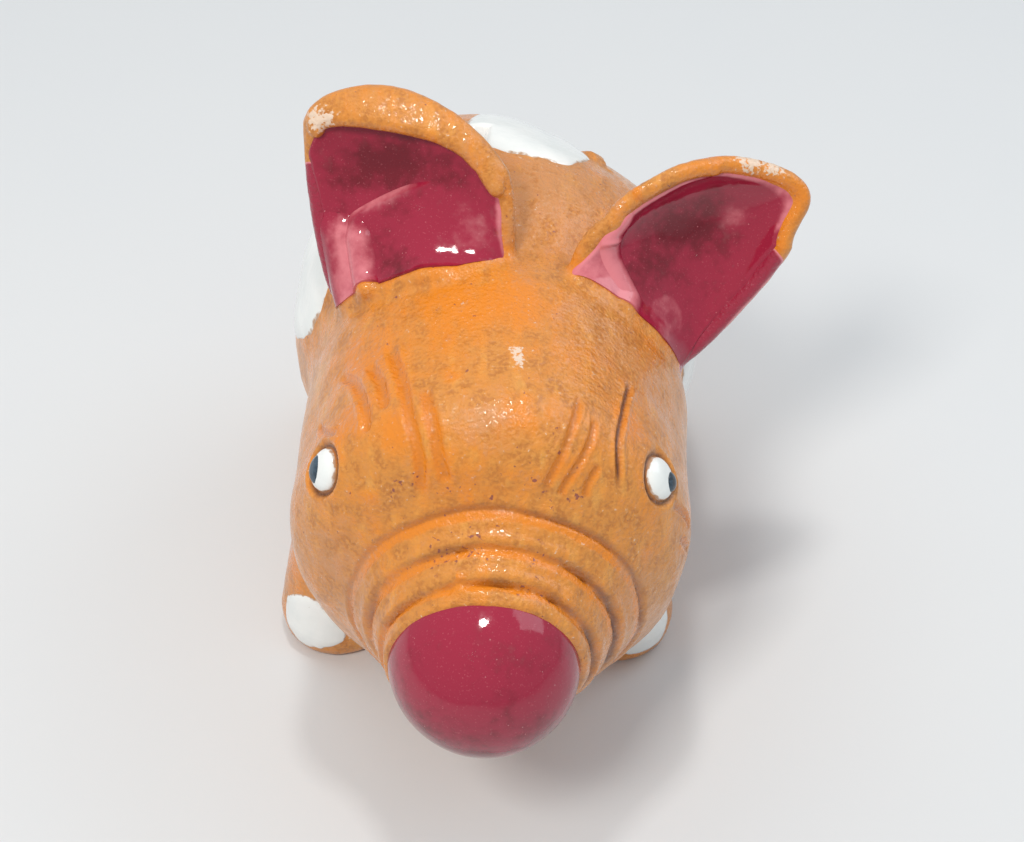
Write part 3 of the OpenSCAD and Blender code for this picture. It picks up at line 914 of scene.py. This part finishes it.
def eye_pieces():
    made = {}
    for side, (high, wide, across, up) in PUPILS.items():
        eye = EYES["eye_" + side]
        white = oval(EYE_HIGH, EYE_WIDE, 0.03, 31)
        made["eye_" + side] = skin("eye", eye.place, eye.out, eye.up, white, dome(0.95, -0.5, 2.6))
        outward = np.sign(eye.place[0]) * np.sign(eye.across[0])
        middle = eye.place + eye.across * outward * across + eye.up * up
        made["pupil_" + side] = skin(
            "pupil", middle, unit(eye.out + eye.across * outward * 0.12), eye.up,
            oval(high, wide, 0.03, 32), dome(1.15, 0.1, 3), 0.3, 20, 80)
    return made


# Each white patch's shift from the middle of its CAD node, and its half height and half width
PATCHES = {
    "back_glaze": ((-3, -3.5, 1), 13, 12.5),
    "flank_left_glaze": ((0, 1, -2), 13, 13),
    "flank_right_glaze": ((0, 1, 0), 12, 13),
    "foot_left_glaze": ((0, 0, 0), 6.2, 7),
    "foot_right_glaze": ((0, 0, 0), 6.2, 7),
}


def white_patches():
    """Where white glaze was brushed on the back, the flanks and the front feet."""
    made = {}
    for number, (node, (shift, high, wide)) in enumerate(PATCHES.items()):
        outline = oval(high, wide, 0.12, 40 + number)
        made[node] = skin(node, *seat(node, shift, (0, 0.3, 1), 4), outline, dome(0.5, -0.35, 8), 1)
    return made


# How far the glaze stays off the outer corner of an ear, an ear's size as the glaze's edges see it,
# where the glaze runs on over the rim without thinning, and where beads of it stand
EAR_CORNERS = {"ear_right": 3, "ear_left": 0}
EAR_HEIGHT, EAR_WIDTHS = 22, (30, 34)
EAR_WRAPS = {
    "ear_right": lambda v: 1 - smooth_step(0.04, 0.12, v), "ear_left": lambda v: smooth_step(0.85, 0.95, v),
}
EAR_BEADS = {"ear_right": [(0.35, 0.15), (0.22, 0.95), (0.93, 0.93)], "ear_left": [(0.3, 0.08)]}


def ear_glaze(name):
    """The glaze in the hollow of an ear: a closed skin that feathers out at the rim."""
    sheet, facing, u, v = ear_sheet(*EAR_SHAPES[name], cells=150)
    corner = EAR_CORNERS[name] * smooth_step(0.6, 0.75, u)
    edge = np.minimum.reduce([
        (1 - u) * EAR_HEIGHT, v * EAR_WIDTHS[0] - corner, (1 - v) * EAR_WIDTHS[1],
    ])
    grain = noise(sheet, 2.5, 51)
    ragged = edge + 0.3 * grain
    lift = EAR_HALF + 0.4 * smooth_step(0.2, 1.4, ragged) - 0.6 * (1 - smooth_step(0, 0.7, ragged))
    for bead_u, bead_v in EAR_BEADS[name]:
        lift = lift + 0.5 * bump_at(u, v, bead_u, bead_v, 0.036, 0.03)
    top = (sheet + facing * lift[..., None]).reshape(-1, 3)
    under = (sheet + facing * (EAR_HALF - 0.9)).reshape(-1, 3)
    places = np.arange(u.size).reshape(u.shape)
    rim = np.concatenate([places[0, :-1], places[:-1, -1], places[-1, :0:-1], places[:0:-1, 0]])
    glaze = closed(name + "_glaze", top, under, grid_quads(*u.shape).tolist(), rim)
    # Pink where the glaze is thin, with painted highlights and a painted reflection, and painted shade in
    # the hollow.
    thin, deep = EAR_TINTS[name](u, v)
    feathered = (1 - smooth_step(0.5, 2.2, ragged)) * (1 - EAR_WRAPS[name](v))
    thin = np.clip(thin + 0.8 * feathered + 0.15 * grain, 0, 1)
    deep = np.clip(deep + 0.15 * grain, 0, 1)
    return painted(glaze, {"thin": np.tile(thin.ravel(), 2), "deep": np.tile(deep.ravel(), 2)})


def bump_at(u, v, u0, v0, u_reach, v_reach):
    return np.exp(-((u - u0) / u_reach) ** 2 - ((v - v0) / v_reach) ** 2)


def ear_right_tint(u, v):
    """Where the glaze is thin and pink, with a painted highlight on the fold's ridge, and where
    painted shade darkens the hollow, in the pig's right ear.
    """
    flap = right_flap(u, v) * (0.35 + 0.65 * smooth_step(0.06, 0.14, v))
    # Painted highlight: a pink line along the ridge of the second layer.
    edge = np.exp(-((u - right_fold_edge(v)) / 0.013) ** 2) * band(v, 0.2, 0.25, 0.48, 0.62)
    thin = 0.8 * flap + 0.8 * edge + 0.35 * bump_at(u, v, 0.2, 0.82, 0.15, 0.2)
    thin = thin + 0.2 * bump_at(u, v, 0.58, 0.3, 0.06, 0.2)
    # Painted shade in the hollow under the hood and near the root.
    deep = bump_at(u, v, 0.47, 0.45, 0.09, 0.36) + 0.6 * bump_at(u, v, 0.12, 0.42, 0.16, 0.1)
    return thin, deep


def ear_left_tint(u, v):
    """Where the glaze is thin and pink, with a painted highlight on the crease and a painted reflection
    of a round light, and where painted shade darkens the hollow, in the pig's left ear.
    """
    outer = 1 - smooth_step(-0.03, 0.02, v - left_crease(u))
    # Painted highlight along the crease's ridge; outside the crease the glaze is thin.
    thin = 0.7 * left_fold(u, v) + 0.7 * outer + 0.6 * bump_at(u, v, 0.73, 0.57, 0.1, 0.1)
    # Painted reflection: a pale round light in the glaze.
    reflected_disc = np.hypot((u - 0.1) / 0.12, (v - 0.64) / 0.14)
    thin = thin + 0.35 * (1 - smooth_step(0.8, 1.05, reflected_disc))
    # Painted shade in the middle of the hollow.
    deep = bump_at(u, v, 0.55, 0.45, 0.2, 0.22) + 0.5 * bump_at(u, v, 0.25, 0.35, 0.2, 0.14)
    return thin, deep


EAR_TINTS = {"ear_right": ear_right_tint, "ear_left": ear_left_tint}


# How much smaller than its CAD node the nose is, how far it sits to the pig's left, and how far its
# back reaches into the snout
NOSE_INSET, NOSE_SHIFT, NOSE_BACK = 0.3, 0.4, 4


def nose_piece():
    """Nearly half a ball, slightly uneven, seated on the end of the snout."""
    radius = NOSE_RADIUS - NOSE_INSET
    middle = np.array([SNOUT_X + NOSE_SHIFT, NOSE_LOW[1] + radius + NOSE_INSET, SNOUT_Z])
    outline = [(0, -NOSE_BACK), (radius - 2, -NOSE_BACK)] + arc((0, 0), radius, -6, 90, 70)
    nose = revolved("nose", outline[:-1] + [(0, radius)], middle, "-Y", 220)
    points = points_of(nose)
    points = points + (points - middle) / radius * 0.22 * noise(points, 9, 61)[:, None]
    moved(nose, points)
    ahead = middle[1] - points[:, 1]
    rise = (points[:, 2] - middle[2]) / radius
    thin = np.clip(1 - smooth_step(0.2, 1.2, ahead) + 0.15 * smooth_step(0.4, 1, rise), 0, 1)
    # Pink at the thin rim and a little towards the top; painted shade darkens the lower half.
    return painted(nose, {"thin": thin, "deep": 0.75 * smooth_step(-0.6, 0.5, -rise) * (ahead > 2)})


def bung_piece():
    """The rubber bung: a flange with a shallow dish, and a hollow neck with two round ribs."""
    low, high = BUNG_LOW[2], BUNG_HIGH[2]
    flange, neck = (BUNG_HIGH[0] - BUNG_LOW[0]) / 2, BORE_RADIUS - 0.95
    outline = [(0, low + 0.7), (flange - 4, low + 0.7), (flange - 2.6, low + 0.1)]
    outline += arc((flange - 0.9, low + 0.9), 0.9, -90, 0, 8)
    outline += arc((flange - 0.6, low + 1.6), 0.6, 0, 90, 6)
    outline += [(neck, low + 2.2)]
    for rib in (3.9, 6.5):
        outline += arc((neck, low + rib), 0.9, -80, 80, 12)
    outline += [(neck, high - 0.5), (neck - 0.5, high), (neck - 2.6, high), (neck - 3, high - 0.4)]
    outline += [(neck - 3, low + 3.2), (0, low + 3.2)]
    return revolved("bung", outline, [BUNG_X, BUNG_Y, 0])


# ---- materials

class Nodes:
    """A new material, with short calls that add nodes to it."""

    def __init__(self, name):
        self.material = bpy.data.materials.new(name)
        self.material.use_nodes = True
        self.tree = self.material.node_tree
        self.shader = self.tree.nodes["Principled BSDF"]
        self.place = self.tree.nodes.new("ShaderNodeTexCoord").outputs["Object"]

    def put(self, socket, value):
        if isinstance(value, bpy.types.NodeSocket):
            self.tree.links.new(value, socket)
        elif socket.type == "RGBA":
            socket.default_value = (*value, 1)
        else:
            socket.default_value = value

    def add(self, kind, output, inputs, **settings):
        node = self.tree.nodes.new(kind)
        for key, value in settings.items():
            setattr(node, key, value)
        for key, value in inputs.items():
            self.put(node.inputs[key], value)
        return node.outputs[output]

    def noise(self, size, detail=3, stretch=None):
        """Noise from 0 to 1 that changes over about size millimetres."""
        place = self.place
        if stretch:
            place = self.add("ShaderNodeMapping", "Vector", {"Vector": place, "Scale": stretch})
        scale = 1 / (size * MM)
        return self.add("ShaderNodeTexNoise", "Fac", {"Vector": place, "Scale": scale, "Detail": detail})

    def dots(self, size, reach):
        """Round dots, one for each cell of about size millimetres: 1 in a dot and 0 outside."""
        scale = 1 / (size * MM)
        distance = self.add("ShaderNodeTexVoronoi", "Distance", {"Vector": self.place, "Scale": scale})
        return self.step(distance, reach, reach * 0.5)

    def share(self, name):
        return self.add("ShaderNodeAttribute", "Fac", {}, attribute_name=name)

    def step(self, value, low, high):
        inputs = {"Value": value, "From Min": low, "From Max": high}
        return self.add("ShaderNodeMapRange", "Result", inputs, interpolation_type="SMOOTHSTEP")

    def calc(self, operation, a, b):
        return self.add("ShaderNodeMath", 0, {0: a, 1: b}, operation=operation)

    def total(self, *terms):
        """The sum of each term's weight times its value less its middle."""
        parts = [self.calc("MULTIPLY", self.calc("SUBTRACT", value, middle), weight)
                 for value, weight, middle in terms]
        result = parts[0]
        for part in parts[1:]:
            result = self.calc("ADD", result, part)
        return result

    def mix(self, share, a, b, most=None):
        """A colour that turns from a to b with the share, or to at most a share of b."""
        if most:
            share = self.calc("MULTIPLY", share, most)
        return self.add("ShaderNodeMix", 2, {0: share, 6: a, 7: b}, data_type="RGBA")

    def bump(self, height, depth, below=None):
        """A normal raised by height times depth millimetres."""
        inputs = {"Height": height, "Distance": depth * MM}
        if below:
            inputs["Normal"] = below
        return self.add("ShaderNodeBump", "Normal", inputs)

    def done(self, colour, roughness, normal, **others):
        """The material, with these values on its shader."""
        values = {"Base Color": colour, "Roughness": roughness, "Normal": normal, **others}
        for key, value in values.items():
            self.put(self.shader.inputs[key.replace("_", " ")], value)
        return self.material


TAN, TAN_DARK, ORANGE = (0.67, 0.26, 0.042), (0.52, 0.18, 0.026), (0.78, 0.235, 0.012)
# The film colour also paints a sheen on the forehead, and the chip colour a highlight streak on it.
STRAW, PALE_FILM_AND_SHEEN, CHIP_AND_HIGHLIGHT = (0.78, 0.36, 0.07), (0.57, 0.265, 0.115), (0.8, 0.6, 0.45)
# Brown paints shade in cracks and grooves; iron is the colour of the specks.
GROOVE_SHADE_BROWN, IRON = (0.09, 0.024, 0.01), (0.24, 0.06, 0.055)
# The deepest maroon also paints shade in the ears' hollows and on the lower half of the nose.
MAROON, MAROON_DARK_AND_SHADE, PINK = (0.34, 0.016, 0.045), (0.17, 0.006, 0.016), (0.78, 0.24, 0.27)


def clay_material():
    """Tan earthenware under a thin clear glaze that turns strong orange where it lies thick, with
    painted shade in its cracks and grooves, and a painted sheen and highlight streak on the forehead.
    """
    n = Nodes("clay")
    pool, film_and_sheen, wear_and_highlight, specks, groove_shade, glazed = [
        n.share(name) for name in ("pool", "film_and_sheen", "wear_and_highlight", "specks", "groove_shade", "glazed")
    ]
    broad, middle, fine = n.noise(12, 3), n.noise(3.2, 5), n.noise(0.7, 4)
    brushed = n.noise(2.4, 5, (1, 0.2, 0.3))
    wet = n.total((pool, 1, 0), (middle, 1.8, 0.5), (broad, 1.6, 0.5), (brushed, 1.6, 0.5))
    wet = n.step(wet, -0.35, 0.85)
    colour = n.mix(n.step(fine, 0.4, 0.62), TAN_DARK, TAN)
    colour = n.mix(n.step(middle, 0.38, 0.62), colour, TAN)
    colour = n.mix(n.step(brushed, 0.5, 0.68), colour, STRAW, 0.7)
    colour = n.mix(wet, colour, ORANGE)
    # A pale film, and a painted sheen at the middle of the forehead.
    film_and_sheen_share = n.total((film_and_sheen, 0.8, 0), (middle, 2.5, 0.56), (fine, 1, 0.5))
    colour = n.mix(n.step(film_and_sheen_share, 0, 0.8), colour, PALE_FILM_AND_SHEEN, 0.55)
    # Chips worn through to the pale clay, and a painted highlight streak on the forehead.
    chips_and_highlight = n.total((wear_and_highlight, 1, 0.35), (fine, 2.2, 0.5))
    colour = n.mix(n.step(chips_and_highlight, 0, 0.3), colour, CHIP_AND_HIGHLIGHT)
    spots = n.total((specks, 0.14, 0), (n.noise(1, 3), 1, 0.5))
    colour = n.mix(n.step(spots, 0.2, 0.26), colour, IRON, 0.85)
    # Painted shade: the cracks, drawn lines and grooves round the eyes turn brown.
    colour = n.mix(groove_shade, colour, GROOVE_SHADE_BROWN, 0.92)
    rim = n.total((glazed, 1, 0), (middle, 0.6, 0.5))
    colour = n.mix(n.step(rim, 0.25, 0.5), colour, PINK)
    colour = n.mix(n.step(rim, 0.5, 0.9), colour, MAROON)
    roughness = n.total((wet, -0.28, 1.55), (fine, 0.35, 0.5), (wear_and_highlight, 0.3, 0), (glazed, -0.15, 0))
    grain = n.total((fine, 1.5, 0.5), (middle, 1.8, 0.5), (brushed, 1.4, 0.5))
    coat = n.bump(n.noise(1.1, 1), 0.3)
    return n.done(
        colour, roughness, n.bump(grain, 0.2), Coat_Normal=coat, Coat_Weight=0.55, Coat_Roughness=0.05)


def maroon_material():
    """Glossy maroon glaze, pink where it is thin over the clay, with light pinholes, painted highlights
    on the ears' ridges, a painted reflection in the pig's left ear, and painted shade in the ears'
    hollows and on the lower half of the nose.
    """
    n = Nodes("maroon_glaze")
    thin, deep = n.share("thin"), n.share("deep")
    broad, middle, fine = n.noise(7, 3), n.noise(1.6, 4), n.noise(0.35, 2)
    # Painted shade, with the glaze's own darker patches.
    shade = n.total((deep, 1, 0), (broad, 1.7, 0.5), (middle, 1.2, 0.5))
    colour = n.mix(n.step(shade, 0, 1), MAROON, MAROON_DARK_AND_SHADE)
    # Pink where the glaze is thin, and the painted highlights and reflection in the ears.
    pink_and_painted_light = n.total((thin, 1, 0), (middle, 0.7, 0.5), (broad, 0.5, 0.5))
    colour = n.mix(n.step(pink_and_painted_light, 0.15, 1.05), colour, PINK, 0.9)
    holes = n.calc("MULTIPLY", n.dots(1.9, 0.09), n.step(middle, 0.48, 0.6))
    colour = n.mix(holes, colour, PINK, 0.6)
    colour = n.mix(n.step(fine, 0.6, 0.8), colour, PINK, 0.25)
    roughness = n.total((middle, 0.12, 0), (fine, 0.06, 0))
    normal = n.bump(n.total((broad, 1, 0.5), (holes, -0.3, 0)), 0.25)
    return n.done(colour, roughness, normal, Coat_Weight=0.15, Coat_Roughness=0.03)


def white_material():
    """Thick white glaze, a little grey in places, that shows the clay at its thin edge."""
    n = Nodes("white_glaze")
    broad, middle = n.noise(6, 3), n.noise(0.9, 4)
    colour = n.mix(n.step(broad, 0.35, 0.65), (0.9, 0.9, 0.87), (0.84, 0.855, 0.83))
    edge = n.total((n.share("thin"), 1, 0), (middle, 0.8, 0.5))
    colour = n.mix(n.step(edge, 0.72, 1.05), colour, (0.5, 0.3, 0.18))
    colour = n.mix(n.dots(2.6, 0.05), colour, (0.35, 0.25, 0.18), 0.5)
    roughness = n.total((middle, 0.16, 0), (broad, 0.08, 0))
    normal = n.bump(n.total((broad, 1, 0.5), (middle, 0.12, 0.5)), 0.2)
    return n.done(colour, roughness, normal, Coat_Weight=0.4, Coat_Roughness=0.04)


def slate_material():
    """Slate blue glaze, lighter where the brush left it thin."""
    n = Nodes("slate_glaze")
    broad, middle = n.noise(1.6, 3), n.noise(0.4, 3)
    colour = n.mix(n.step(broad, 0.35, 0.65), (0.018, 0.028, 0.04), (0.05, 0.085, 0.12))
    colour = n.mix(n.step(middle, 0.6, 0.8), colour, (0.16, 0.22, 0.27))
    return n.done(colour, n.total((middle, 0.25, 0)), n.bump(middle, 0.04), Coat_Weight=0.3)


def rubber_material():
    """Black moulded rubber, dusty and scuffed."""
    n = Nodes("rubber")
    broad, middle, fine = n.noise(5, 3), n.noise(0.8, 4), n.noise(0.15, 2)
    colour = n.mix(n.step(broad, 0.35, 0.65), (0.012, 0.012, 0.013), (0.03, 0.029, 0.028))
    colour = n.mix(n.step(middle, 0.58, 0.75), colour, (0.1, 0.095, 0.085), 0.5)
    roughness = n.total((middle, 0.4, 0), (fine, 0.2, 0), (broad, 0.2, -1))
    return n.done(colour, roughness, n.bump(n.total((fine, 1, 0.5), (middle, 1, 0.5)), 0.03))


def paper_material():
    """The pale table."""
    n = Nodes("paper")
    colour = n.mix(n.noise(60, 3), (0.71, 0.72, 0.73), (0.73, 0.735, 0.735))
    return n.done(colour, n.total((n.noise(2, 3), 0.2, -2.5)), n.bump(n.noise(0.5, 3), 0.01))


MATERIALS = {
    "clay": clay_material(), "maroon_glaze": maroon_material(), "white_glaze": white_material(),
    "slate_glaze": slate_material(), "rubber": rubber_material(),
}


def finished(made, node, slot, body="pig"):
    """Gives a piece its material, and its place in the shared frame."""
    made.name = node + "_look"
    made.data.materials.clear()
    made.data.materials.append(MATERIALS[slot])
    made.data.shade_smooth()
    made.data.set_sharp_from_angle(angle=math.radians(62))
    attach(made, body)
    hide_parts(node)


# ---- camera, light and floor

def aimed(made, place, forward, right):
    """Puts a camera or light at place in the row frame, looking along forward."""
    forward, right = Vector(forward).normalized(), Vector(right).normalized()
    up = right.cross(forward)
    made.matrix_world = Matrix.Translation(Vector(place)) @ Matrix(
        (right, up, -forward)).transposed().to_4x4()


def in_row(point):
    return Vector((np.asarray(point) + ORIGIN) * MM)


# The camera's turn and tilt in degrees, and its distance from a place in the head and its shift to
# the right and up
CAMERA_TURN, CAMERA_TILT = 1.6, 45
CAMERA_AWAY, CAMERA_RIGHT, CAMERA_UP = 396, 3.54, 6.36
AIM = np.array([HEAD_X - 0.3, FACE_Y + 30.3, HEAD_Z + 1.5])


def make_camera():
    turn, tilt = math.radians(CAMERA_TURN), math.radians(CAMERA_TILT)
    forward = Vector((-math.sin(turn) * math.cos(tilt), math.cos(turn) * math.cos(tilt), -math.sin(tilt)))
    right = Vector((math.cos(turn), math.sin(turn), 0))
    up = right.cross(forward)
    place = in_row(AIM) + (CAMERA_RIGHT * right + CAMERA_UP * up - CAMERA_AWAY * forward) * MM
    data = bpy.data.cameras.new("camera")
    data.sensor_width = 36
    data.lens = 78.75
    data.clip_start = 0.01
    camera = linked("camera", data)
    aimed(camera, place, forward, right)
    bpy.context.scene.camera = camera


# Each lamp's place, size, power and colour, and whether the glazes reflect it
LAMPS = {
    "ceiling": ([-10, -25, 620], 55, 0.7, (1, 0.98, 0.95), True),
    "key": ([-190, -420, 640], 150, 2.4, (1, 0.965, 0.915), False),
    "soft": ([-420, 300, 700], 700, 1.3, (1, 0.99, 0.97), False),
    "window": ([420, 180, 460], 400, 0.8, (0.88, 0.94, 1), True),
}
SKY_COLOUR, SKY_STRENGTH = (0.88, 0.945, 1, 1), 0.5


def make_light():
    """Square lamps that point at the head, in the light of a pale room."""
    head = in_row([HEAD_X, FACE_SEAM_Y, HEAD_Z])
    for name, (place, size, watts, colour, reflected) in LAMPS.items():
        data = bpy.data.lights.new(name, "AREA")
        data.size = size * MM
        data.energy = watts
        data.color = colour
        light = linked(name, data)
        light.visible_glossy = reflected
        forward = (head - in_row(place)).normalized()
        aimed(light, in_row(place), forward, forward.cross(Vector((0.01, 0.02, 1))))
    world = bpy.data.worlds.new("studio")
    world.use_nodes = True
    sky = world.node_tree.nodes["Background"].inputs
    sky["Color"].default_value = SKY_COLOUR
    sky["Strength"].default_value = SKY_STRENGTH
    bpy.context.scene.world = world


def make_floor():
    size = 3
    mesh = bpy.data.meshes.new("floor")
    corners = [(-size, -size, 0), (size, -size, 0), (size, size, 0), (-size, size, 0)]
    mesh.from_pydata(corners, [], [(0, 1, 2, 3)])
    floor = linked("floor", mesh)
    floor.data.materials.append(paper_material())


bpy.context.scene.view_settings.view_transform = "Standard"
make_camera()
make_light()
make_floor()

for clay_node, clay_piece in clay_pieces().items():
    painted(clay_piece, clay_paint(points_of(clay_piece)))
    finished(clay_piece, clay_node, "clay")
for eye_node, eye_piece in eye_pieces().items():
    finished(eye_piece, eye_node, "slate_glaze" if eye_node.startswith("pupil") else "white_glaze")
for patch_node, patch in white_patches().items():
    finished(patch, patch_node, "white_glaze")
for ear in EARS:
    finished(ear_glaze(ear), ear + "_glaze", "maroon_glaze")
finished(nose_piece(), "nose_pad", "maroon_glaze")
finished(bung_piece(), "belly_stopper", "rubber", "stopper")
